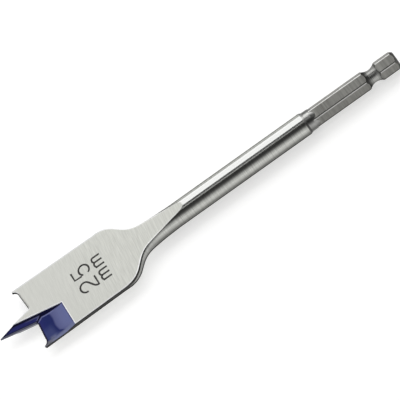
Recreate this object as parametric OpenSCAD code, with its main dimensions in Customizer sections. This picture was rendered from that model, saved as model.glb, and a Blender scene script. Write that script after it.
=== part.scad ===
// Spade drill bit with a quick-change hex shank, lying on a flat of its stem.
// Millimetres. The long axis runs along X, from the point at -X to the shank's end at +X.
// Stations called _x are measured along the axis from the tip of the point.

/* [Overall] */
// Length from the tip of the point to the end of the shank
length = 160; // [145:1:190]

/* [Blade] */
// Width of the blade across its spurs
blade_w = 25; // [18:0.5:38]
// Width that the blade loses from its spurs to its shoulder
blade_taper = 1; // [0.4:0.1:2]
// Thickness of the blade
blade_t = 1.9; // [1.5:0.1:2.6]
// Tip of the point to the blade's rear corners, before they are rounded
blade_len = 48.9; // [44:0.1:54]

/* [Point] */
// Tip of the point to the inner ends of the lips
point_len = 13.3; // [10:0.1:16]
// Width of the point between the lips
point_w = 6; // [5:0.1:7]
// Width left at the tip
tip_w = 0.2; // [0.1:0.05:0.5]
// Thickness left at the tip between its two facets
tip_t = 0.16; // [0.1:0.02:0.4]
// Depth of the step at which a facet starts below the blade's face
facet_drop = 0.35; // [0.15:0.05:0.5]

/* [Lips and spurs] */
// Distance that a lip's outer end lies ahead of its inner end
lip_lead = 0.5; // [0.2:0.1:1]
// Distance that a spur's tip lies ahead of the inner end of its lip
spur_lead = 1.9; // [1.4:0.1:2.4]
// Width left at a spur's tip
spur_land = 0.6; // [0.3:0.1:1]
// Radius of the hollow between a lip and its spur
spur_r = 2; // [1.6:0.1:2.6]
// Clearance angle behind the cutting edges
relief = 15; // [8:1:18]

/* [Grooves] */
// Length of a groove behind the inner end of its lip
groove_len = 10.6; // [8:0.2:13]
// Depth of a groove at its deepest
groove_depth = 1.2; // [0.9:0.05:1.3]
// Radius of the hollow floor, about an axis across the blade
floor_r = 30; // [24:1:40]
// Width of the strip that curls up along the outer edge
curl_w = 1.3; // [0.8:0.1:1.8]
// Radius of that curl
curl_r = 2; // [1.8:0.1:3]
// Angle of the inner wall to the axis, seen in plan
wall_slant = 12; // [9:1:15]
// Distance behind the lips at which the inner wall crosses the axis
wall_back = 0.5; // [0.2:0.1:1]
// Slope of the inner wall
wall_slope = 45; // [35:1:60]
// Angle to the axis of the short wall round the foot of the point
foot_slant = 30; // [24:1:36]
// Distance from the point's flank to the top of that short wall
foot_inset = 1; // [0.8:0.1:1.2]
// Slope of that short wall
foot_slope = 60; // [50:1:70]

/* [Shoulder] */
// Radius of the blade's rear corners
shoulder_r = 9.2; // [7:0.2:10]
// Slope of the shoulder to the axis
shoulder_slope = 45; // [40:1:50]
// Radius of the throat where the shoulder meets the stem
throat_r = 9; // [7:0.1:11]
// Slope of the flare between the throat and the stem
flare_slope = 7; // [5:0.5:9]
// Tip of the point to the place where the flare meets the stem
flare_x = 65; // [62:0.5:72]
// Radius that blends the flare into the stem
flare_r = 117; // [80:1:130]

/* [Stem] */
// Diameter of the round stem
stem_d = 8; // [7:0.1:9]
// Distance between the stem's two flats
flat_gap = 7.74; // [6.4:0.02:7.8]
// Width of the level middle of each flat
crown_w = 1.4; // [1:0.1:2]
// Slope of the bevels on both sides of that middle
crown_slope = 9; // [6:0.5:12]
// Tip of the point to the start of the ramp from blade to stem
ramp_x = 44; // [38:0.5:50]
// Length of that ramp
ramp_len = 31; // [24:0.5:40]

/* [Shank] */
// Length of the hex shank, from the end of the round stem
shank_len = 36.9; // [32:0.1:45]
// Distance across the flats of the hex
hex_af = 6.35; // [6:0.05:6.4]
// Diameter to which the hex corners are turned
hex_corner_d = 7.2; // [6.8:0.05:7.3]
// Turn of the hex about the axis, from a corner straight up
hex_turn = 45; // [0:1:59]
// Length of the chamfer at the stem's end
neck_len = 0.9; // [0.7:0.1:1.2]
// Radius that rounds the front edge of that chamfer
neck_r = 1.2; // [0.6:0.1:1.6]
// Diameter of the round collar between the chamfer and the hex
collar_d = 7.32; // [7.3:0.02:7.5]
// Length of the collar
collar_len = 2; // [1.5:0.1:3]
// Length over which the collar runs out on the hex flats
runout_len = 1.9; // [1.4:0.1:2.4]
// Distance from the shank's end to the middle of the retaining groove
ring_back = 9.8; // [8:0.1:11]
// Diameter left in the retaining groove
ring_d = 4.8; // [4.2:0.1:5.4]
// Radius of the retaining groove's hollow
ring_r = 3.9; // [2.5:0.1:4.5]
// Length of the end chamfer
chamfer_len = 1.2; // [0.6:0.1:2]
// Diameter of the shank's end face
end_d = 5.2; // [4.4:0.1:5.8]

/* [Hidden] */
$fn = 96;
// Overshoot of every cutter past the faces that it cuts
over = 5;
// Small step that keeps two cutters' faces from only touching
step = 0.05;
// Angle at which each arc of the outline crosses its neighbours
crease = 1;

// Stations of the lips and spurs
lip_outer_x = point_len - lip_lead;
spur_x = point_len - spur_lead;
spur_y = blade_w / 2 - spur_land;
spur_c_x = lip_outer_x + step - spur_r;
spur_c = [spur_c_x, spur_y - sqrt(pow(spur_r, 2) - pow(spur_x - spur_c_x, 2))];

// Corners of the blank's outline as [radius, station] pairs, before they are rounded
stem_r = stem_d / 2;
shoulder_half_w = (blade_w - blade_taper) / 2;
edge_lean = blade_taper / 2 / (blade_len - spur_x);
p_front = [blade_w / 2 + spur_x * edge_lean, 0];
p_corner = [shoulder_half_w, blade_len];
throat_x = (shoulder_half_w - stem_r + blade_len * tan(shoulder_slope) - flare_x * tan(flare_slope))
    / (tan(shoulder_slope) - tan(flare_slope));
p_throat = [stem_r + (flare_x - throat_x) * tan(flare_slope), throat_x];
p_flare = [stem_r, flare_x];

// Stations of the stem's end and of the shank
stem_end_x = length - shank_len;
collar_x = stem_end_x + neck_len;
hex_x = collar_x + collar_len;
runout_x = hex_x + runout_len;
ring_x = length - ring_back;
hex_r = hex_corner_d / 2;
collar_r = collar_d / 2;
runout_r = hex_af / 2 - step;
p_stem_end = [stem_r, stem_end_x];
p_collar = [collar_r, collar_x];

// Planes of the groove and of the point's facets
groove_back_x = point_len + groove_len;
floor_z = blade_t / 2 - groove_depth;
floor_c = [groove_back_x - sqrt(pow(floor_r, 2) - pow(floor_r - groove_depth, 2)), floor_z + floor_r];
wall_x = point_len + wall_back;
curl_y = blade_w / 2 - curl_w;
foot_y = point_w / 2 - foot_inset;
foot_x = (foot_y + point_len * tan(foot_slant) + wall_x * tan(wall_slant))
    / (tan(foot_slant) + tan(wall_slant));
facet_z = blade_t / 2 - facet_drop;
facet_slope = atan((facet_z - tip_t / 2) / (wall_x * sin(wall_slant)));

// Vector of length one in a direction.
function unit(v) = v / norm(v);

// Turns a [radius, station] outline about the long axis.
module turned() {
    rotate([0, 90, 0])
        rotate_extrude()
            children();
}

// Patch between a corner and the arc that rounds it, for the corner between two neighbouring points.
module corner_patch(before, corner, after, r) {
    u = unit(before - corner);
    v = unit(after - corner);
    half_angle = acos(u * v) / 2;
    inward = unit(u + v);
    difference() {
        polygon([
            corner + u * r / tan(half_angle),
            corner - inward * step,
            corner + v * r / tan(half_angle)
        ]);
        translate(corner + inward * r / sin(half_angle))
            circle(r / cos(crease));
    }
}

// Half outline of blade and stem, with round corners, throat, flare and collar.
module blank_outline() {
    difference() {
        polygon([
            [0, 0], p_front, p_corner, p_throat, p_flare, p_stem_end, p_collar,
            [collar_r, hex_x], [runout_r, runout_x], [0, runout_x]
        ]);
        corner_patch(p_front, p_corner, p_throat, shoulder_r);
        corner_patch(p_flare, p_stem_end, p_collar, neck_r);
    }
    corner_patch(p_corner, p_throat, p_flare, throat_r);
    corner_patch(p_throat, p_flare, p_stem_end, flare_r);
}

// Side view of the forging: thin blade, ramp, and the stem's two flats.
module side_profile() {
    for (side = [0, 1])
        mirror([0, side])
            polygon([
                [-over, 0], [-over, blade_t / 2], [ramp_x, blade_t / 2],
                [ramp_x + ramp_len, flat_gap / 2], [runout_x + over, flat_gap / 2], [runout_x + over, 0]
            ]);
}

// End view of the room that the flats and their bevels leave.
module crown_profile() {
    reach = blade_w;
    drop = (reach - crown_w / 2) * tan(crown_slope);
    for (side = [0, 1])
        mirror([0, side])
            polygon([
                [-reach, 0], [-reach, flat_gap / 2 - drop], [-crown_w / 2, flat_gap / 2],
                [crown_w / 2, flat_gap / 2], [reach, flat_gap / 2 - drop], [reach, 0]
            ]);
}

// Blade and stem before the grinding of the cutting end.
module forging() {
    intersection() {
        turned()
            blank_outline();
        rotate([90, 0, 0])
            linear_extrude(blade_w + 2 * over, center = true)
                side_profile();
        rotate([90, 0, 90])
            linear_extrude(length)
                crown_profile();
    }
}

// Hex shank with turned corners, end chamfer and retaining groove.
module shank() {
    difference() {
        intersection() {
            translate([stem_end_x, 0, 0])
                rotate([hex_turn, 0, 0])
                    rotate([0, 90, 0])
                        cylinder(d = hex_af / cos(30), h = length - stem_end_x, $fn = 6);
            turned()
                polygon([
                    [0, stem_end_x], [hex_r, stem_end_x], [hex_r, length - chamfer_len],
                    [end_d / 2, length], [0, length]
                ]);
        }
        turned()
            translate([ring_d / 2 + ring_r, ring_x])
                circle(ring_r);
    }
}

// Ground gap ahead of one lip, between the point's flank and the spur, leaning back for clearance.
module lip_gap() {
    translate([point_len, 0, 0])
        rotate([0, -relief, 0])
            translate([-point_len, 0, 0])
                linear_extrude(2 * blade_t + 2 * over, center = true)
                    mirror([0, 1]) {
                        polygon([
                            [-over, tip_w / 2], [0, tip_w / 2], [point_len, point_w / 2],
                            [lip_outer_x, spur_c[1]], [spur_x, spur_c[1]], [-over, spur_c[1]]
                        ]);
                        translate(spur_c)
                            circle(spur_r);
                        translate([-over, point_w])
                            square([spur_x + over, blade_w]);
                    }
}

// Half space above a plane that falls towards -Y from a line through a point, at an angle in plan.
module above_plane(through, plan_angle, slope) {
    reach = 2 * blade_w;
    translate(through)
        rotate([0, 0, plan_angle])
            rotate([slope, 0, 0])
                translate([-reach, -reach, 0])
                    cube([2 * reach, reach, reach]);
}

// Room of the groove behind one lip: round floor, curled outer edge, short wall at the point's foot.
module groove() {
    intersection() {
        translate([floor_c[0], 0, floor_c[1]])
            rotate([90, 0, 0])
                cylinder(r = floor_r, h = 2 * blade_w, center = true);
        rotate([90, 0, 90])
            linear_extrude(groove_back_x + over)
                mirror([1, 0]) {
                    translate([-over, floor_z - blade_t])
                        square([curl_y + over, 3 * blade_t]);
                    translate([curl_y, floor_z + curl_r - step])
                        circle(curl_r);
                    translate([curl_y, floor_z + curl_r])
                        square([curl_w + over, 3 * blade_t]);
                }
        above_plane([point_len, -foot_y, blade_t / 2], foot_slant, foot_slope);
    }
}

// Room over the sloping facet along one side of the point.
module point_facet() {
    intersection() {
        above_plane([wall_x, 0, facet_z], -wall_slant, facet_slope);
        translate([-over, -point_w / 2 - tip_w, -blade_t])
            cube([foot_x + over, 2 * point_w, 2 * blade_t]);
    }
}

// Hollow on one side of the cutting end: groove and facet, both ended by the long inner wall.
module hollow() {
    intersection() {
        above_plane([wall_x, 0, blade_t / 2], -wall_slant, wall_slope);
        union() {
            groove();
            point_facet();
        }
    }
}

// The whole bit, in one piece of steel, with its hollows painted blue.
module spade_bit() {
    translate([-length / 2, 0, flat_gap / 2])
        difference() {
            color("silver")
                union() {
                    forging();
                    shank();
                }
            for (half_turn = [0, 180])
                rotate([half_turn, 0, 0]) {
                    color("silver")
                        lip_gap();
                    color("midnightblue")
                        hollow();
                }
        }
}

spade_bit();
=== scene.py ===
"""Spade drill bit with a quick-change hex shank, lying on a pale floor in soft studio light.

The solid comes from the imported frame. This script gives each of its surfaces a finish, prints
the size mark on the blade, and sets up the floor, the lamps and the camera. Lengths named _MM
are millimetres, and stations are measured along the bit from the tip of its point.
"""

import math
from functools import cached_property

import bpy
from mathutils import Matrix, Vector


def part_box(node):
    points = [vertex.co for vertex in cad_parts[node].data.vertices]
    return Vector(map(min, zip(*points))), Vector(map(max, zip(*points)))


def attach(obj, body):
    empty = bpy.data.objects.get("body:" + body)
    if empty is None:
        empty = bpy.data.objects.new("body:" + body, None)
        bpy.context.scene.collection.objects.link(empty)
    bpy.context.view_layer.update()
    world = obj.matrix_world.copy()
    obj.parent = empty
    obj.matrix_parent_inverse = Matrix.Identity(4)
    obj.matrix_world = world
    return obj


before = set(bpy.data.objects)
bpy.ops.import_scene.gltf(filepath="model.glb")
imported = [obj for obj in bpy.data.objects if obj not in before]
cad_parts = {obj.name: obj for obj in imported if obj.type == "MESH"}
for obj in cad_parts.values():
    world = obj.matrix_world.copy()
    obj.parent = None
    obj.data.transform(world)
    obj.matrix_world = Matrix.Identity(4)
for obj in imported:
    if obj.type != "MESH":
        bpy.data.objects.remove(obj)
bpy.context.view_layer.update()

MM = 0.001
NODE = "spade_bit"
LOW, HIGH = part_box(NODE)
TIP_X = LOW[0]
AXIS_Z = (LOW[2] + HIGH[2]) / 2

# Stations, thicknesses and angles of the solid, as in the part's source.
BLADE_HALF_T_MM = 0.95
LIP_MM = 13.3
LIP_LEAN = 0.055
POINT_HALF_W_MM = 3.3
POINT_TAPER = 0.214
WALL_MM = 13.8
WALL_SLANT = math.radians(-12)
WALL_SLOPE = math.radians(45)
FOOT_Y_MM = -2.0
FOOT_SLANT = math.radians(30)
FOOT_SLOPE = math.radians(60)
WALL_REACH_MM = 6.0
GROOVE_END_MM = 23.9
SHOULDER_MM = 46.0
FLARE_MM = 62.0
RAMP_END_MM = 75.0
COLLAR_MM = 123.2
CHAMFER_END_MM = 123.9
HEX_MM = 126.0
RING_FRONT_MM = 146.0
RING_BACK_MM = 154.5
HEX_FLAT_R_MM = 3.17
HEX_CORNER = math.radians(45)
HEX_STEP = math.radians(60)

# Size mark: lines of characters on the blade's upper face.
STROKE_MM = 0.66
STROKE_PROUD_MM = 0.02
DIGIT_H_MM = 6.35
DIGIT_W_MM = 3.8
DIGIT_STATION_MM = 34.5
DIGIT_Y_MM = 3.03
UNIT_H_MM = 3.4
UNIT_W_MM = 3.85
UNIT_STATION_MM = 41.2
UNIT_Y_MM = 2.85
UNIT_BOW_MM = 0.75

# Camera: a long lens that looks down at the blade, with the bit on the picture's diagonal.
IMAGE_PX = 400
SENSOR_MM = 36.0
LENS_MM = 300.0
PX_PER_MM = 3.036
VIEW_TILT = math.radians(32.9)
VIEW_PITCH = math.radians(2)
VIEW_ROLL = math.radians(35.42)
AIM_X_MM = 0.48
AIM_DOWN_MM = 0.42


def station(mm):
    """X in metres of a station in millimetres from the tip."""
    return TIP_X + mm * MM


# Materials

# Places of the sockets of a Mix node, which share their names.
MIX_VALUES, MIX_VALUE_OUT = (2, 3), 0
MIX_COLORS, MIX_COLOR_OUT = (6, 7), 2

NO_TURN = (0.0, 0.0, 0.0)
BUMP_MM = 0.02
BEVEL_SAMPLES = 8


class Finish:
    """A material and its shader nodes. Most methods add nodes and return what comes out of them."""

    def __init__(self, name):
        self.material = bpy.data.materials.new(name)
        self.material.use_nodes = True
        self.nodes = self.material.node_tree.nodes
        self.links = self.material.node_tree.links
        self.shader = self.nodes["Principled BSDF"]

    def feed(self, socket, value):
        """Give a socket a number, a colour or what comes out of another node."""
        if isinstance(value, tuple):
            socket.default_value = (*value, 1.0)
        elif isinstance(value, (int, float)):
            socket.default_value = value
        else:
            self.links.new(value, socket)

    def set(self, name, value):
        """Feed an input of the shader."""
        self.feed(self.shader.inputs[name], value)

    def split(self, vector):
        """X, Y and Z of a vector, by name."""
        node = self.nodes.new("ShaderNodeSeparateXYZ")
        self.feed(node.inputs["Vector"], vector)
        return node.outputs

    @cached_property
    def place(self):
        """X, Y and Z of the surface point, in metres."""
        return self.split(self.nodes.new("ShaderNodeTexCoord").outputs["Object"])

    @cached_property
    def facing(self):
        """X, Y and Z of the way that the surface looks."""
        return self.split(self.nodes.new("ShaderNodeNewGeometry").outputs["Normal"])

    @cached_property
    def level(self):
        """0 on faces that look sideways and 1 on those that look straight up or down."""
        return self.calc("ABSOLUTE", self.facing["Z"])

    @cached_property
    def outward(self):
        """Distance from the plane that parts the two wings of the blade, in metres."""
        return self.calc("ABSOLUTE", self.place["Y"])

    @cached_property
    def half_turn(self):
        """1 on faces that look up, and -1 on those that a half turn brings there."""
        return self.calc("SIGN", self.facing["Z"])

    @cached_property
    def turned_y(self):
        """Y in metres, after the half turn."""
        return self.product(self.place["Y"], self.half_turn)

    @cached_property
    def turned_height(self):
        """Height over the axis in metres, after the half turn."""
        return self.product(self.calc("SUBTRACT", self.place["Z"], AXIS_Z), self.half_turn)

    def calc(self, operation, *values):
        """The result of a Math node, for numbers or sockets."""
        node = self.nodes.new("ShaderNodeMath")
        node.operation = operation
        for socket, value in zip(node.inputs, values):
            self.feed(socket, value)
        return node.outputs[0]

    def product(self, first, second):
        return self.calc("MULTIPLY", first, second)

    def least(self, first, second):
        return self.calc("MINIMUM", first, second)

    def most(self, first, second):
        return self.calc("MAXIMUM", first, second)

    def spread(self, value, low, high, start=0.3, end=0.7):
        """value from start to end becomes low to high, and stays there beyond them."""
        node = self.nodes.new("ShaderNodeMapRange")
        node.inputs["From Min"].default_value = start
        node.inputs["From Max"].default_value = end
        node.inputs["To Min"].default_value = low
        node.inputs["To Max"].default_value = high
        self.feed(node.inputs["Value"], value)
        return node.outputs["Result"]

    def rise(self, value, start, end):
        """0 at start, 1 at end, and level beyond them."""
        return self.spread(value, 0.0, 1.0, start, end)

    def fall(self, value, start, end):
        """1 at start, 0 at end, and level beyond them."""
        return self.spread(value, 1.0, 0.0, start, end)

    def rise_mm(self, length, start_mm, end_mm):
        """rise for a length in metres, with its limits in millimetres."""
        return self.rise(length, start_mm * MM, end_mm * MM)

    def fall_mm(self, length, start_mm, end_mm):
        """fall for a length in metres, with its limits in millimetres."""
        return self.fall(length, start_mm * MM, end_mm * MM)

    def past(self, start_mm, end_mm):
        """0 up to one station and 1 from the other on."""
        return self.rise(self.place["X"], station(start_mm), station(end_mm))

    def before(self, start_mm, end_mm):
        """1 up to one station and 0 from the other on."""
        return self.fall(self.place["X"], station(start_mm), station(end_mm))

    def blend(self, factor, first, second):
        """A mix of two colours: the first where factor is 0 and the second where it is 1."""
        node = self.nodes.new("ShaderNodeMix")
        node.data_type = "RGBA"
        self.feed(node.inputs["Factor"], factor)
        for place, color in zip(MIX_COLORS, (first, second)):
            self.feed(node.inputs[place], color)
        return node.outputs[MIX_COLOR_OUT]

    def blend_values(self, factor, first, second):
        """A mix of two numbers."""
        node = self.nodes.new("ShaderNodeMix")
        self.feed(node.inputs["Factor"], factor)
        for place, value in zip(MIX_VALUES, (first, second)):
            self.feed(node.inputs[place], value)
        return node.outputs[MIX_VALUE_OUT]

    def dimmed(self, color, factor):
        """color, multiplied by a number."""
        node = self.nodes.new("ShaderNodeVectorMath")
        node.operation = "SCALE"
        self.feed(node.inputs[0], color)
        self.feed(node.inputs["Scale"], factor)
        return node.outputs["Vector"]

    def noise(self, scale, detail=3.0, roughness=0.55, turn=NO_TURN):
        """Noise over object coordinates that are turned, then scaled to cycles per metre."""
        coords = self.nodes.new("ShaderNodeTexCoord")
        turned = self.nodes.new("ShaderNodeMapping")
        turned.inputs["Rotation"].default_value = turn
        scaled = self.nodes.new("ShaderNodeMapping")
        scaled.inputs["Scale"].default_value = scale
        texture = self.nodes.new("ShaderNodeTexNoise")
        texture.inputs["Scale"].default_value = 1.0
        texture.inputs["Detail"].default_value = detail
        texture.inputs["Roughness"].default_value = roughness
        self.feed(turned.inputs["Vector"], coords.outputs["Object"])
        self.feed(scaled.inputs["Vector"], turned.outputs["Vector"])
        self.feed(texture.inputs["Vector"], scaled.outputs["Vector"])
        return texture.outputs["Fac"]

    def grain(self, scale, turn=NO_TURN, broader=0.22):
        """Fine lines, and the same lines with broader bands among them, each about 0 to 1."""
        lines = self.noise(scale, 4.0, 0.6, turn)
        broad = self.noise(tuple(cycles * broader for cycles in scale), 2.0, turn=turn)
        both = self.blend_shares(lines, broad, 0.35)
        return lines, self.spread(both, 0.0, 1.0)

    def blend_shares(self, first, second, share):
        """The sum of two numbers, of which share comes from the second."""
        return self.calc("MULTIPLY_ADD", second, share, self.product(first, 1.0 - share))

    def rounded(self, radius_mm):
        """Normals over edges that are rounded by a radius."""
        node = self.nodes.new("ShaderNodeBevel")
        node.samples = BEVEL_SAMPLES
        node.inputs["Radius"].default_value = radius_mm * MM
        return node.outputs["Normal"]

    def bump(self, height, strength, edge_mm):
        """Normals from a height, over edges that are rounded by edge_mm."""
        node = self.nodes.new("ShaderNodeBump")
        node.inputs["Strength"].default_value = strength
        node.inputs["Distance"].default_value = BUMP_MM * MM
        self.feed(node.inputs["Height"], height)
        self.feed(node.inputs["Normal"], self.rounded(edge_mm))
        return node.outputs["Normal"]

    def edge_light_and_shade_mask(self, radius_mm, start, end):
        """1 along the solid's edges and 0 elsewhere, from how far rounded normals turn there: where
        painted highlights and shade go.
        """
        dot = self.nodes.new("ShaderNodeVectorMath")
        dot.operation = "DOT_PRODUCT"
        self.feed(dot.inputs[0], self.rounded(radius_mm))
        self.feed(dot.inputs[1], self.nodes.new("ShaderNodeNewGeometry").outputs["Normal"])
        return self.rise(dot.outputs["Value"], start, end)

    def wall_gap(self, y_mm, x_mm, slant, slope):
        """Distance in metres of a surface point from a groove's wall, on either side of the blade."""
        depth = self.calc("SUBTRACT", BLADE_HALF_T_MM * MM, self.turned_height)
        back = self.calc("SUBTRACT", self.place["X"], station(x_mm))
        left = self.calc("SUBTRACT", y_mm * MM, self.turned_y)
        plan = self.calc("MULTIPLY_ADD", back, math.sin(slant), self.product(left, math.cos(slant)))
        return self.calc("MULTIPLY_ADD", depth, -1.0 / math.tan(slope), plan)

    def inner_gap(self):
        """Distance in metres from the long inner wall of a groove."""
        return self.wall_gap(0.0, WALL_MM, WALL_SLANT, WALL_SLOPE)


def fill_ramp(ramp, stops):
    """Give a colour ramp its stops, each a position and a colour."""
    elements = ramp.color_ramp.elements
    while len(elements) < len(stops):
        elements.new(1.0)
    for element, (position, color) in zip(elements, stops):
        element.position = position
        element.color = (*color, 1.0)


# Steel: grains in cycles per metre along each axis, and tones in linear light.
DRAWN_GRAIN = (90.0, 2200.0, 2200.0)
TURNED_GRAIN = (3000.0, 60.0, 60.0)
STEM_GRAIN = (2700.0, 60.0, 60.0)
SHANK_GRAIN = (1700.0, 90.0, 90.0)
GROUND_GRAIN = (4600.0, 230.0, 230.0)
GROUND_TURN = (0.0, 0.0, math.radians(6))
GROUND_DARK, GROUND_PALE = (0.41, 0.414, 0.385), (0.625, 0.631, 0.592)
GROUND_MIDDLE = (0.518, 0.522, 0.493)
# Painted highlights on the ground faces' edges and by the grooves' walls, painted shade by the lips.
BLADE_EDGE_HIGHLIGHT, FLARE_EDGE_HIGHLIGHT = (0.64, 0.645, 0.65), (0.86, 0.865, 0.865)
LIP_EDGE_SHADE = (0.17, 0.17, 0.165)
WALL_LINE_HIGHLIGHT = (0.8, 0.805, 0.825)
SCALE_DARK, SCALE_PALE = (0.24, 0.24, 0.235), (0.34, 0.34, 0.33)
STEM_DARK, STEM_PALE = (0.5, 0.505, 0.478), (0.58, 0.586, 0.555)
THROAT_SHADE, THROAT_REFLECTION = (0.05, 0.05, 0.047), (0.5, 0.503, 0.485)
SIDE_EDGE_SHADE = (0.05, 0.05, 0.048)
SATIN_DARK, SATIN_PALE = (0.25, 0.25, 0.232), (0.52, 0.514, 0.484)
CORNER_SHADE, CORNER_HIGHLIGHT = (0.03, 0.03, 0.028), (0.95, 0.95, 0.93)
RING_DARK, RING_PALE = (0.3, 0.3, 0.288), (0.42, 0.42, 0.405)
RING_BORDER_SHADE = (0.03, 0.03, 0.028)
COLLAR_DARK, COLLAR_PALE = (0.36, 0.36, 0.35), (0.46, 0.46, 0.45)

# The part of a lip between the point and the hollow of the spur.
LIP_INNER_MM = POINT_HALF_W_MM + 0.3
LIP_OUTER_MM = 10.0
SPUR_HOLLOW_MM = 10.6

# How far the border between the throat's painted shade and painted reflection climbs over the axis.
THROAT_CLIMB_MM = 1.9


def metal(name, grazing=1.0):
    """Bare metal that reflects the share called grazing of the light that skims it."""
    finish = Finish(name)
    finish.set("Metallic", 1.0)
    finish.set("Specular Tint", (grazing, grazing, grazing))
    return finish


def steel(name, pale, dark, rough, grain, bump_strength=0.1, edge_mm=0.08, grazing=1.0):
    """Steel with a fine grain: pale and dark are its two tones, rough its two roughnesses."""
    finish = metal(name, grazing)
    lines, mix = finish.grain(grain)
    finish.set("Base Color", finish.blend(mix, dark, pale))
    finish.set("Roughness", finish.spread(lines, *rough))
    finish.set("Normal", finish.bump(lines, bump_strength, edge_mm))
    return finish.material


def ground_face():
    """Cross-ground faces of the blade: painted highlights by their edges and grooves, painted shade
    by the lips.
    """
    finish = metal("ground_face")
    lines, mix = finish.grain(GROUND_GRAIN, GROUND_TURN, broader=0.6)
    color = finish.blend(mix, GROUND_DARK, GROUND_PALE)
    calm = finish.spread(finish.place["X"], 0.5, 0.0, station(GROOVE_END_MM), station(SHOULDER_MM))
    color = finish.blend(calm, color, GROUND_MIDDLE)
    # Painted highlights along the edges, brighter on the flare, and painted shade along the lips.
    flared = finish.past(SHOULDER_MM, SHOULDER_MM + 6.0)
    edge = finish.blend(flared, BLADE_EDGE_HIGHLIGHT, FLARE_EDGE_HIGHLIGHT)
    past_point = finish.rise_mm(finish.outward, POINT_HALF_W_MM, LIP_INNER_MM)
    before_spur = finish.fall_mm(finish.outward, LIP_OUTER_MM, SPUR_HOLLOW_MM)
    on_lip = finish.before(LIP_MM + 0.8, LIP_MM + 1.0)
    by_lip = finish.product(on_lip, finish.least(past_point, before_spur))
    edge = finish.blend(by_lip, edge, LIP_EDGE_SHADE)
    color = finish.blend(finish.edge_light_and_shade_mask(radius_mm=1.1, start=0.99, end=0.94), color, edge)
    # A painted highlight on the face beside the top of a groove's inner wall.
    by_wall = finish.rise_mm(finish.inner_gap(), -0.2, -0.1)
    beside_groove = finish.before(GROOVE_END_MM + 0.1, GROOVE_END_MM + 0.35)
    color = finish.blend(finish.product(by_wall, beside_groove), color, WALL_LINE_HIGHLIGHT)
    finish.set("Base Color", color)
    finish.set("Roughness", finish.spread(lines, 0.34, 0.44))
    finish.set("Normal", finish.bump(lines, strength=0.12, edge_mm=0.08))
    return finish.material


def with_throat(finish, color):
    """color, with a band of painted shade over a band of painted reflection on the wall of the
    throat.
    """
    border = finish.spread(finish.place["X"], AXIS_Z, AXIS_Z + THROAT_CLIMB_MM * MM,
                           station(SHOULDER_MM + 2.0), station(FLARE_MM - 3.0))
    height = finish.calc("SUBTRACT", finish.place["Z"], border)
    bands = finish.blend(finish.fall_mm(height, -0.25, 0.25), THROAT_SHADE, THROAT_REFLECTION)
    entry = finish.past(SHOULDER_MM - 1.0, SHOULDER_MM + 2.0)
    leaving = finish.before(FLARE_MM - 7.0, FLARE_MM)
    return finish.blend(finish.product(entry, leaving), color, bands)


def stem_shade(finish):
    """Brightness of the stem: faint turned lines across it, and a band of painted shade low on each
    side.
    """
    across = finish.spread(finish.noise(STEM_GRAIN), 0.88, 1.12)
    upward = finish.facing["Z"]
    band = finish.most(finish.spread(upward, 0.2, 1.0, -0.38, -0.12),
                       finish.spread(upward, 1.0, 0.2, -0.85, -0.58))
    change = finish.calc("SUBTRACT", finish.product(across, band), 1.0)
    on_stem = finish.past(SHOULDER_MM + 5.0, FLARE_MM - 5.0)
    return finish.calc("MULTIPLY_ADD", on_stem, change, 1.0)


def forged_side():
    """Sides of the bit: dark scale on the blade's edges, painted shade and reflection on the throat,
    and a polished stem.
    """
    finish = metal("forged_side", grazing=0.15)
    lines, mix = finish.grain(DRAWN_GRAIN)
    polish = finish.past(SHOULDER_MM, FLARE_MM)
    scale = finish.blend(mix, SCALE_DARK, SCALE_PALE)
    bright = finish.blend(mix, STEM_DARK, STEM_PALE)
    color = finish.blend(polish, scale, bright)
    # Painted shade on faces that look sideways.
    color = finish.dimmed(color, finish.spread(finish.level, 0.42, 1.0, 0.0, 0.5))
    color = with_throat(finish, color)
    color = finish.dimmed(color, stem_shade(finish))
    # A dark line of painted shade along the edges.
    edge = finish.edge_light_and_shade_mask(radius_mm=2.4, start=0.997, end=0.95)
    finish.set("Base Color", finish.blend(edge, color, SIDE_EDGE_SHADE))
    finish.set("Roughness", finish.spread(polish, 0.3, 0.13, 0.0, 1.0))
    finish.set("Normal", finish.bump(lines, strength=0.05, edge_mm=0.4))
    return finish.material


def corner_turn(finish):
    """Angle in radians round the axis from the last corner of the hex, up to a sixth of a turn."""
    height = finish.calc("SUBTRACT", finish.place["Z"], AXIS_Z)
    leftward = finish.product(finish.place["Y"], -1.0)
    angle = finish.calc("ARCTAN2", leftward, height)
    from_corner = finish.calc("ADD", angle, 4 * math.pi - HEX_CORNER)
    return finish.calc("MODULO", from_corner, HEX_STEP)


def shank_satin():
    """Satin steel of the hex shank, lined across, with painted highlights on the corners and painted
    shade by each.
    """
    finish = metal("shank_satin", grazing=0.75)
    lines, mix = finish.grain(SHANK_GRAIN, broader=0.6)
    color = finish.blend(mix, SATIN_DARK, SATIN_PALE)
    turn = corner_turn(finish)
    by_next = finish.rise(turn, HEX_STEP - math.radians(7), HEX_STEP - math.radians(5))
    color = finish.blend(by_next, color, CORNER_SHADE)
    at_next = finish.rise(turn, HEX_STEP - math.radians(2.4), HEX_STEP - math.radians(1.4))
    at_last = finish.fall(turn, math.radians(3), math.radians(5))
    color = finish.blend(finish.most(at_next, at_last), color, CORNER_HIGHLIGHT)
    # Painted shade on flats that look sideways.
    color = finish.dimmed(color, finish.spread(finish.level, 0.44, 1.0, 0.1, 0.95))
    finish.set("Base Color", color)
    finish.set("Roughness", finish.spread(lines, 0.42, 0.55))
    finish.set("Normal", finish.bump(lines, strength=0.12, edge_mm=0.15))
    return finish.material


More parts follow.
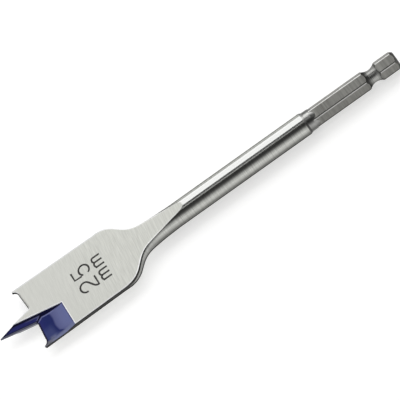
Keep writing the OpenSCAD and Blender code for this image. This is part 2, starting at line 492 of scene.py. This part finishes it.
def ring_steel():
    """Turned steel of the retaining groove, with painted shade on its slopes and along its borders.
    """
    finish = metal("ring_steel", grazing=0.4)
    lines, mix = finish.grain(TURNED_GRAIN)
    color = finish.blend(mix, RING_DARK, RING_PALE)
    rearward = finish.facing["X"]
    front = finish.spread(rearward, 1.0, 0.12, 0.05, 0.5)
    rear = finish.spread(rearward, 0.3, 1.0, -0.65, -0.3)
    on_floor = finish.least(finish.fall(rearward, 0.2, 0.45), finish.rise(rearward, -0.6, -0.3))
    # A painted highlight on the top of the floor, painted shade on the slopes.
    bright = finish.product(on_floor, finish.rise(finish.level, 0.6, 0.85))
    color = finish.dimmed(color, finish.most(bright, finish.least(front, rear)))
    border = finish.edge_light_and_shade_mask(radius_mm=1.8, start=0.985, end=0.93)
    finish.set("Base Color", finish.blend(border, color, RING_BORDER_SHADE))
    finish.set("Roughness", finish.spread(lines, 0.24, 0.32))
    finish.set("Normal", finish.bump(lines, strength=0.1, edge_mm=0.15))
    return finish.material


def collar_steel():
    """Turned steel of the collar: painted highlights above and below, painted shade beside them and
    at its sides.

    The chamfer before it has a painted highlight above and painted shade at its sides.
    """
    finish = metal("collar_steel", grazing=0.8)
    lines, mix = finish.grain(TURNED_GRAIN)
    color = finish.blend(mix, COLLAR_DARK, COLLAR_PALE)
    above = finish.spread(finish.level, 0.38, 1.3, 0.92, 0.985)
    beside = finish.least(finish.spread(finish.level, 0.34, 0.85, 0.0, 0.5),
                          finish.spread(finish.level, 1.0, 0.38, 0.5, 0.85))
    shade = finish.most(above, beside)
    on_chamfer = finish.before(CHAMFER_END_MM - 0.05, CHAMFER_END_MM + 0.1)
    chamfer_shade = finish.spread(finish.level, 0.2, 1.2, 0.76, 0.96)
    change = finish.calc("SUBTRACT", chamfer_shade, shade)
    shade = finish.calc("MULTIPLY_ADD", on_chamfer, change, shade)
    finish.set("Base Color", finish.dimmed(color, shade))
    finish.set("Roughness", finish.spread(lines, 0.27, 0.34))
    finish.set("Normal", finish.bump(lines, strength=0.1, edge_mm=0.15))
    return finish.material


# Lacquer: tones of a groove's floor by distance in millimetres behind the lip, dark lacquer and then
# a painted hazy reflection, then other tones.
TONE_REACH_MM = 11.0
LACQUER_AND_REFLECTION_TONES = (
    (0.0, (0.004, 0.004, 0.03)),
    (0.3, (0.004, 0.004, 0.03)),
    (0.7, (0.012, 0.016, 0.14)),
    (2.6, (0.006, 0.014, 0.12)),
    (4.5, (0.006, 0.013, 0.115)),
    (5.2, (0.096, 0.108, 0.265)),
    (7.5, (0.131, 0.149, 0.325)),
    (10.0, (0.133, 0.156, 0.348)),
)
LACQUER_SHEEN = (0.037, 0.05, 0.174)
LACQUER_WALL_HIGHLIGHT = (0.165, 0.18, 0.39)
LACQUER_CORNER_SHADE = (0.004, 0.004, 0.03)
LACQUER_REAR = (0.038, 0.04, 0.135)
LACQUER_LIP_SHADE = (0.006, 0.006, 0.03)
# Tones of the painted reflection on the curled rims.
RIM_GREY, RIM_BLUE = (0.17, 0.172, 0.195), (0.165, 0.185, 0.325)
POINT_NAVY, POINT_BLUE = (0.011, 0.013, 0.09), (0.026, 0.03, 0.16)
POINT_EDGE_SHADE, POINT_EDGE_HIGHLIGHT = (0.008, 0.008, 0.04), (0.17, 0.18, 0.3)
POINT_LINE_HIGHLIGHT = (0.085, 0.09, 0.19)
POINT_FOOT = (0.003, 0.003, 0.02)
POINT_SHADE = (0.006, 0.008, 0.04)
POINT_BARE = (0.105, 0.11, 0.155)
WALL_BLACK, WALL_NAVY = (0.003, 0.003, 0.02), (0.006, 0.006, 0.06)
WALL_TOP_WEAR_AND_HIGHLIGHT = (0.8, 0.81, 0.85)
MARK_BLACK, MARK_GREY = (0.01, 0.01, 0.009), (0.04, 0.038, 0.034)

# Grains of the lacquer and the mark, in cycles per metre.
SPECK_GRAIN = (9000.0, 9000.0, 9000.0)
POINT_GRAIN = (300.0, 1500.0, 1500.0)
WALL_GRAIN = (700.0, 700.0, 700.0)
MARK_GRAIN = (5000.0, 5000.0, 5000.0)

# Line between the dark part and the painted hazy reflection on a groove's floor: its waves, its lean
# and its tail, which runs back by the amounts TAIL_BY_MM as it goes out over the distances
# TAIL_OUT_MM.
WAVE_RADIANS_PER_MM = 0.95
WAVE_START = 0.6
WAVE_MM = 0.2
WAVE_LEAN = -0.02
TAIL_OUT_MM = (9.9, 11.2)
TAIL_BY_MM = (-0.15, 1.45)

# Painted sheen on the dark part: where it comes in on the way out, and its start and end behind the
# lip.
SHEEN_OUT_MM = (5.5, 8.0)
SHEEN_START_MM = (0.3, 0.7)
SHEEN_END_MM = (2.8, 4.4)

# Curled rims: where their painted reflection comes in on the way out, sooner near the lip, and their
# outer edge.
RIM_MM = (10.7, 11.5)
EARLY_RIM_MM = (9.8, 10.8)
RIM_EDGE_MM = (11.6, 12.0)

# Stations where the painted shade in a groove's rear corner and the painted highlights at the rear of
# the point's facets come in.
CORNER_MM = (19.5, 22.5)
POINT_REAR_MM = (9.5, 12.0)


def lacquer(name):
    """A glossy coat that shows its own colour more than the lamps."""
    finish = Finish(name)
    finish.set("Roughness", 0.3)
    finish.set("Specular IOR Level", 0.1)
    finish.set("Normal", finish.bump(finish.noise(SPECK_GRAIN, 2.0), strength=0.06, edge_mm=0.1))
    return finish


def wavy_place(finish, from_lip):
    """X for the tones of a groove's floor: along the lip at first, then along a wavy line."""
    outward = finish.outward
    turn = finish.calc("ADD", finish.product(outward, WAVE_RADIANS_PER_MM / MM), WAVE_START)
    level = finish.calc("MULTIPLY_ADD", outward, WAVE_LEAN, finish.place["X"])
    waved = finish.calc("MULTIPLY_ADD", finish.calc("SINE", turn), WAVE_MM * MM, level)
    tail_low, tail_high = TAIL_BY_MM
    tail_start, tail_end = TAIL_OUT_MM
    tail = finish.spread(outward, tail_low * MM, tail_high * MM, tail_start * MM, tail_end * MM)
    waved = finish.calc("SUBTRACT", waved, tail)
    reach = finish.rise(from_lip, station(LIP_MM + 1.0), station(LIP_MM + 3.0))
    return finish.blend_values(reach, from_lip, waved)


def tone_share(mm):
    """A distance behind the lip as a share of the reach of the floor's tones."""
    return mm / TONE_REACH_MM


def floor_tone(finish):
    """Colour of a groove's floor: dark behind the lip up to a wavy line, a painted hazy reflection
    behind it, and a painted sheen on the dark part.
    """
    from_lip = finish.calc("MULTIPLY_ADD", finish.outward, LIP_LEAN, finish.place["X"])
    start = LIP_MM + LIP_LEAN * POINT_HALF_W_MM
    behind = finish.rise(wavy_place(finish, from_lip), station(start), station(start + TONE_REACH_MM))
    ramp = finish.nodes.new("ShaderNodeValToRGB")
    fill_ramp(ramp, [(tone_share(mm), tone) for mm, tone in LACQUER_AND_REFLECTION_TONES])
    finish.feed(ramp.inputs["Fac"], behind)
    started = finish.rise(behind, *map(tone_share, SHEEN_START_MM))
    not_ended = finish.fall(behind, *map(tone_share, SHEEN_END_MM))
    outer = finish.rise_mm(finish.outward, *SHEEN_OUT_MM)
    sheen = finish.product(outer, finish.least(started, not_ended))
    return finish.blend(sheen, ramp.outputs["Color"], LACQUER_SHEEN)


def rim_share(finish):
    """1 where the curled rims get their painted reflection, which reaches further in just behind the
    lip.
    """
    front = finish.least(finish.past(LIP_MM + 0.6, LIP_MM + 1.5),
                         finish.before(LIP_MM + 2.7, LIP_MM + 4.0))
    start_mm, end_mm = EARLY_RIM_MM
    further_in = finish.spread(finish.outward, 0.0, 0.7, start_mm * MM, end_mm * MM)
    return finish.most(finish.product(front, further_in), finish.rise_mm(finish.outward, *RIM_MM))


def lip_line(finish):
    """1 along the lip's own edge, for a line of painted shade, and less where it meets the outer
    edge.
    """
    start_mm, end_mm = RIM_EDGE_MM
    on_lip = finish.product(finish.before(LIP_MM + 0.6, LIP_MM + 1.2),
                            finish.spread(finish.outward, 1.0, 0.3, start_mm * MM, end_mm * MM))
    return finish.product(on_lip, finish.edge_light_and_shade_mask(radius_mm=1.0, start=0.995, end=0.93))


def blue_lacquer():
    """Blue lacquer on the grooves' floors, with a painted highlight by the inner walls and a painted
    reflection on the curled rims.

    It has painted shade in the rear corner and along the lip, is dark along the rear end, and its
    rims' painted reflection is grey at the spur.
    """
    finish = lacquer("blue_lacquer")
    color = floor_tone(finish)
    foot_gap = finish.wall_gap(FOOT_Y_MM, LIP_MM, FOOT_SLANT, FOOT_SLOPE)
    gap = finish.least(finish.inner_gap(), foot_gap)
    color = finish.blend(finish.fall_mm(gap, 0.3, 0.6), color, LACQUER_WALL_HIGHLIGHT)
    corner = finish.product(finish.fall_mm(gap, 0.28, 0.45), finish.past(*CORNER_MM))
    color = finish.blend(corner, color, LACQUER_CORNER_SHADE)
    rear = finish.past(GROOVE_END_MM - 0.4, GROOVE_END_MM - 0.2)
    color = finish.blend(rear, color, LACQUER_REAR)
    # Painted reflection on the curled rims, grey by the spur and blue further back.
    rim_tone = finish.blend(finish.past(LIP_MM, LIP_MM + 3.0), RIM_GREY, RIM_BLUE)
    color = finish.blend(rim_share(finish), color, rim_tone)
    finish.set("Base Color", finish.blend(lip_line(finish), color, LACQUER_LIP_SHADE))
    return finish.material


def point_lacquer():
    """Navy lacquer on the facets of the point, with painted highlights on the rear edges and in a
    line by the wall.

    It is dark at the foot of the wall, has painted shade along the facet's near side, and that side's
    edge is worn bare.
    """
    finish = lacquer("point_lacquer")
    color = finish.blend(finish.noise(POINT_GRAIN, 2.0), POINT_NAVY, POINT_BLUE)
    rear = finish.past(*POINT_REAR_MM)
    # Painted shade on the edges near the tip, painted highlights on those further back.
    edge = finish.blend(rear, POINT_EDGE_SHADE, POINT_EDGE_HIGHLIGHT)
    color = finish.blend(finish.edge_light_and_shade_mask(radius_mm=1.2, start=0.995, end=0.95), color, edge)
    gap = finish.inner_gap()
    line = finish.product(finish.fall_mm(gap, 0.6, 0.75), rear)
    color = finish.blend(line, color, POINT_LINE_HIGHLIGHT)
    color = finish.blend(finish.fall_mm(gap, 0.3, 0.42), color, POINT_FOOT)
    from_tip = finish.calc("SUBTRACT", finish.place["X"], TIP_X)
    inward = finish.calc("MULTIPLY_ADD", from_tip, POINT_TAPER, finish.turned_y)
    color = finish.blend(finish.fall_mm(inward, 0.6, 0.8), color, POINT_SHADE)
    color = finish.blend(finish.fall_mm(inward, 0.38, 0.48), color, POINT_BARE)
    finish.set("Base Color", color)
    return finish.material


def lacquer_wall():
    """Near-black lacquer on the steep inner walls of the grooves, bare along their tops, with a
    painted highlight there.
    """
    finish = lacquer("lacquer_wall")
    color = finish.blend(finish.noise(WALL_GRAIN, 2.0), WALL_BLACK, WALL_NAVY)
    # Bare steel along the walls' tops, painted brighter than the face as a highlight.
    worn = finish.rise_mm(finish.turned_height, BLADE_HALF_T_MM - 0.2, BLADE_HALF_T_MM - 0.15)
    finish.set("Base Color", finish.blend(worn, color, WALL_TOP_WEAR_AND_HIGHLIGHT))
    return finish.material


def mark_black():
    """Matt black of the size mark."""
    finish = Finish("mark_black")
    finish.set("Roughness", 0.6)
    finish.set("Base Color", finish.blend(finish.noise(MARK_GRAIN, 2.0), MARK_BLACK, MARK_GREY))
    return finish.material


FINISHES = {
    "ground_face": ground_face(),
    "lip_flank": steel("lip_flank", pale=(0.33, 0.336, 0.365), dark=(0.24, 0.245, 0.268),
                       rough=(0.3, 0.4), grain=(900.0, 900.0, 160.0)),
    # The lip relief's very dark tone is painted shade.
    "lip_relief": steel("lip_relief", pale=(0.05, 0.05, 0.048), dark=(0.025, 0.025, 0.024),
                        rough=(0.3, 0.4), grain=(160.0, 900.0, 900.0), grazing=0.1),
    "forged_side": forged_side(),
    "stem_flat": steel("stem_flat", pale=(0.62, 0.625, 0.615), dark=(0.56, 0.565, 0.555),
                       rough=(0.16, 0.22), grain=DRAWN_GRAIN, bump_strength=0.04),
    "shank_satin": shank_satin(),
    "ring_steel": ring_steel(),
    "collar_steel": collar_steel(),
    # The end's very dark tone is painted shade.
    "turned_steel": steel("turned_steel", pale=(0.12, 0.12, 0.115), dark=(0.07, 0.07, 0.067),
                          rough=(0.3, 0.4), grain=TURNED_GRAIN, edge_mm=0.15, grazing=0.3),
    "blue_lacquer": blue_lacquer(),
    "point_lacquer": point_lacquer(),
    "lacquer_wall": lacquer_wall(),
}

# Limits on the parts of a face's normal, by which faces are told apart.
SLOPED_NX = 0.02
RELIEF_NX = -0.6
FLOOR_NY = 0.1
WALL_NY = 0.45
HOLLOW_NZ = 0.3
LEVEL_NZ = 0.97

# How far under the blade's face a surface counts as sunk, and where the lips end.
SUNK_MM = 0.004
LIP_END_MM = LIP_MM + 0.5


def shank_finish(face, at):
    """Turned steel on the collar, the retaining groove and the end, satin on the hex."""
    out = math.hypot(face.center.y, face.center.z - AXIS_Z) / MM
    turned = abs(face.normal.x) > SLOPED_NX or out < HEX_FLAT_R_MM
    if at < HEX_MM or turned and at < RING_FRONT_MM:
        return "collar_steel"
    if turned:
        return "ring_steel" if at < RING_BACK_MM else "turned_steel"
    return "shank_satin"


def hollow_finish(face):
    """Lacquer inside a hollow of the cutting end: steep walls, facets of the point, and floors."""
    lean = abs(face.normal.y)
    if abs(face.center.y) > WALL_REACH_MM * MM or lean < FLOOR_NY:
        return "blue_lacquer"
    return "lacquer_wall" if lean > WALL_NY else "point_lacquer"


def side_finish(face, at):
    """Finish of a face that looks sideways: ground at the cutting end, forged behind it."""
    if at > LIP_END_MM:
        return "forged_side"
    if face.normal.x < RELIEF_NX:
        return "lip_relief"
    return "lip_flank" if abs(face.center.y) < POINT_HALF_W_MM * MM else "forged_side"


def finish_of(face):
    """The finish of one face of the solid, by its place and the way it looks."""
    at = (face.center.x - TIP_X) / MM
    up = face.normal.z
    side = 1.0 if up >= 0.0 else -1.0
    height = side * (face.center.z - AXIS_Z) / MM
    if at > COLLAR_MM:
        return shank_finish(face, at)
    sunk = height < BLADE_HALF_T_MM - SUNK_MM
    if at < GROOVE_END_MM + 0.1 and abs(up) > HOLLOW_NZ and sunk:
        return hollow_finish(face)
    if abs(up) > LEVEL_NZ:
        return "ground_face" if at < RAMP_END_MM else "stem_flat"
    return side_finish(face, at)


def dress_solid():
    """Give each face of the solid its finish."""
    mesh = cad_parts[NODE].data
    mesh.materials.clear()
    places = {}
    for name, material in FINISHES.items():
        places[name] = len(mesh.materials)
        mesh.materials.append(material)
    for face in mesh.polygons:
        face.material_index = places[finish_of(face)]


# Size mark


def arc(cx, cy, rx, ry, start, end, count=14):
    """Points on an ellipse from the angle start to the angle end, in degrees."""
    angles = [math.radians(start + (end - start) * i / count) for i in range(count + 1)]
    return [(cx + rx * math.cos(a), cy + ry * math.sin(a)) for a in angles]


def digit_two(w, h):
    """A round hook that runs through a straight slope into a curve down to the base line."""
    r = w / 2
    slope = 55
    hook = arc(0, h / 2 - r, r, r, 185, -slope)
    curve = arc(0, -h / 2, r, r, 180 - slope, 180)
    return [hook + curve + [(r, -h / 2)]]


def digit_five(w, h):
    """A bar and a stem over a bowl that is open on its left."""
    r = w / 2
    bar_and_stem = [(0.42 * w, h / 2), (-0.42 * w, h / 2), (-0.44 * w, 0.06 * h)]
    bowl = arc(0, r - h / 2, r, r, 148, -152)
    return [bar_and_stem, bowl]


def letter_m(w, h):
    """A straight stem and two bows, each with a leg."""
    strokes = [[(-w / 2, -h / 2), (-w / 2, h / 2)]]
    for left in (-w / 2, 0):
        bow = arc(left + w / 4, h / 2 - UNIT_BOW_MM, w / 4, UNIT_BOW_MM, 180, 0)
        strokes.append(bow + [(left + w / 2, -h / 2)])
    return strokes


def stroke_curve(points, centre_station, centre_y):
    """A stroke with a round section and closed ends, which size_mark flattens.

    Characters stand towards the tip and read towards +Y.
    """
    data = bpy.data.curves.new("stroke", "CURVE")
    data.dimensions = "3D"
    data.bevel_depth = STROKE_MM / 2 * MM
    data.bevel_resolution = 3
    data.use_fill_caps = True
    line = data.splines.new("POLY")
    line.points.add(len(points) - 1)
    for place, (across, up) in zip(line.points, points):
        x = station(centre_station - up)
        y = (centre_y + across) * MM
        place.co = (x, y, 0.0, 1.0)
    piece = bpy.data.objects.new("stroke", data)
    bpy.context.collection.objects.link(piece)
    return piece


def size_mark():
    """The 25 mm mark as one thin piece on the blade's upper face."""
    strokes = []
    for shape, w, h, at, y in (
        (digit_two, DIGIT_W_MM, DIGIT_H_MM, DIGIT_STATION_MM, -DIGIT_Y_MM),
        (digit_five, DIGIT_W_MM, DIGIT_H_MM, DIGIT_STATION_MM, DIGIT_Y_MM),
        (letter_m, UNIT_W_MM, UNIT_H_MM, UNIT_STATION_MM, -UNIT_Y_MM),
        (letter_m, UNIT_W_MM, UNIT_H_MM, UNIT_STATION_MM, UNIT_Y_MM),
    ):
        strokes += [stroke_curve(points, at, y) for points in shape(w, h)]
    bpy.ops.object.select_all(action="DESELECT")
    for piece in strokes:
        piece.select_set(True)
    bpy.context.view_layer.objects.active = strokes[0]
    bpy.ops.object.convert(target="MESH")
    bpy.ops.object.join()
    mark = bpy.context.view_layer.objects.active
    mark.name = "size_mark"
    flatten = Matrix.Diagonal((1.0, 1.0, 2 * STROKE_PROUD_MM / STROKE_MM, 1.0))
    mark.data.transform(flatten)
    mark.location = (0.0, 0.0, AXIS_Z + BLADE_HALF_T_MM * MM)
    mark.data.materials.append(mark_black())
    bpy.context.view_layer.update()
    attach(mark, "root")


# Surroundings: the floor, the sky by height, and the lamps, in metres.
FLOOR_RADIUS = 4.0
FLOOR_SIDES = 96
FLOOR_DROP_MM = 0.02
FLOOR_TONE = (0.64, 0.64, 0.637)
FLOOR_LIGHT = (1.0, 1.0, 0.995)
FLOOR_GLOW = 0.55
SKY_GREYS = ((0.0, 0.95), (0.15, 0.85), (0.34, 0.6), (0.5, 0.32), (0.63, 0.13), (0.78, 0.05))
KEY_DISTANCE = 0.9
KEY_HEIGHT = math.radians(50)


def floor_white():
    """White floor that shows the shadow, and stays near white to the camera and in reflections."""
    finish = Finish("floor_white")
    finish.set("Base Color", FLOOR_TONE)
    finish.set("Roughness", 1.0)
    finish.set("Specular IOR Level", 0.0)
    finish.set("Emission Color", FLOOR_LIGHT)
    path = finish.nodes.new("ShaderNodeLightPath").outputs
    seen = finish.most(path["Is Camera Ray"], path["Is Glossy Ray"])
    seen = finish.most(seen, path["Is Transmission Ray"])
    finish.set("Emission Strength", finish.product(seen, FLOOR_GLOW))
    return finish.material


def add_floor():
    bpy.ops.mesh.primitive_circle_add(vertices=FLOOR_SIDES, radius=FLOOR_RADIUS, fill_type="NGON",
                                      location=(0.0, 0.0, -FLOOR_DROP_MM * MM))
    floor = bpy.context.object
    floor.name = "floor"
    floor.data.materials.append(floor_white())


def sky():
    """A pale horizon under a dark ceiling, as in a studio with white walls."""
    world = bpy.data.worlds.new("studio")
    bpy.context.scene.world = world
    world.use_nodes = True
    nodes, links = world.node_tree.nodes, world.node_tree.links
    coords = nodes.new("ShaderNodeTexCoord")
    axes = nodes.new("ShaderNodeSeparateXYZ")
    ramp = nodes.new("ShaderNodeValToRGB")
    fill_ramp(ramp, [(height, (grey, grey, grey)) for height, grey in SKY_GREYS])
    links.new(coords.outputs["Generated"], axes.inputs["Vector"])
    links.new(axes.outputs["Z"], ramp.inputs["Fac"])
    links.new(ramp.outputs["Color"], nodes["Background"].inputs["Color"])


def area_lamp(name, place, size, radiance, in_reflections=True):
    """A rectangular lamp that faces the bit. radiance is how bright its face looks."""
    data = bpy.data.lights.new(name, "AREA")
    data.shape = "RECTANGLE"
    data.size, data.size_y = size
    data.energy = radiance * math.pi * size[0] * size[1]
    lamp = bpy.data.objects.new(name, data)
    bpy.context.collection.objects.link(lamp)
    lamp.location = place
    lamp.rotation_euler = (-Vector(place)).to_track_quat("-Z", "Y").to_euler()
    lamp.visible_camera = False
    lamp.visible_glossy = in_reflections


def add_lamps():
    """A long key lamp behind the bit, a strip over it, and a fill that no surface mirrors."""
    key_place = (0.0, KEY_DISTANCE * math.cos(KEY_HEIGHT), KEY_DISTANCE * math.sin(KEY_HEIGHT))
    area_lamp("key", place=key_place, size=(2.6, 0.62), radiance=1.5)
    area_lamp("strip", place=(0.0, -0.12, 1.0), size=(1.8, 0.36), radiance=0.6)
    area_lamp("fill", place=(0.0, 0.45, 1.3), size=(1.8, 1.4), radiance=0.75, in_reflections=False)


def add_camera():
    """A camera on the blade's front side, rolled so that the bit lies on the picture's diagonal."""
    towards = Vector((math.sin(VIEW_PITCH),
                      -math.sin(VIEW_TILT) * math.cos(VIEW_PITCH),
                      math.cos(VIEW_TILT) * math.cos(VIEW_PITCH)))
    along = Vector((1.0, 0.0, 0.0))
    along = (along - towards * along.dot(towards)).normalized()
    across = towards.cross(along)
    right = along * math.cos(VIEW_ROLL) - across * math.sin(VIEW_ROLL)
    up = along * math.sin(VIEW_ROLL) + across * math.cos(VIEW_ROLL)
    down = Vector((0.0, -math.cos(VIEW_TILT), -math.sin(VIEW_TILT)))
    aim = Vector((AIM_X_MM * MM, 0.0, AXIS_Z)) + down * AIM_DOWN_MM * MM
    distance = IMAGE_PX * LENS_MM / (SENSOR_MM * PX_PER_MM) * MM
    data = bpy.data.cameras.new("camera")
    data.lens = LENS_MM
    data.sensor_width = SENSOR_MM
    data.clip_start = 0.01
    camera = bpy.data.objects.new("camera", data)
    bpy.context.collection.objects.link(camera)
    turn = Matrix((right, up, towards)).transposed().to_4x4()
    camera.matrix_world = Matrix.Translation(aim + towards * distance) @ turn
    bpy.context.scene.camera = camera


dress_solid()
size_mark()
add_floor()
sky()
add_lamps()
add_camera()
bpy.context.scene.view_settings.view_transform = "Standard"
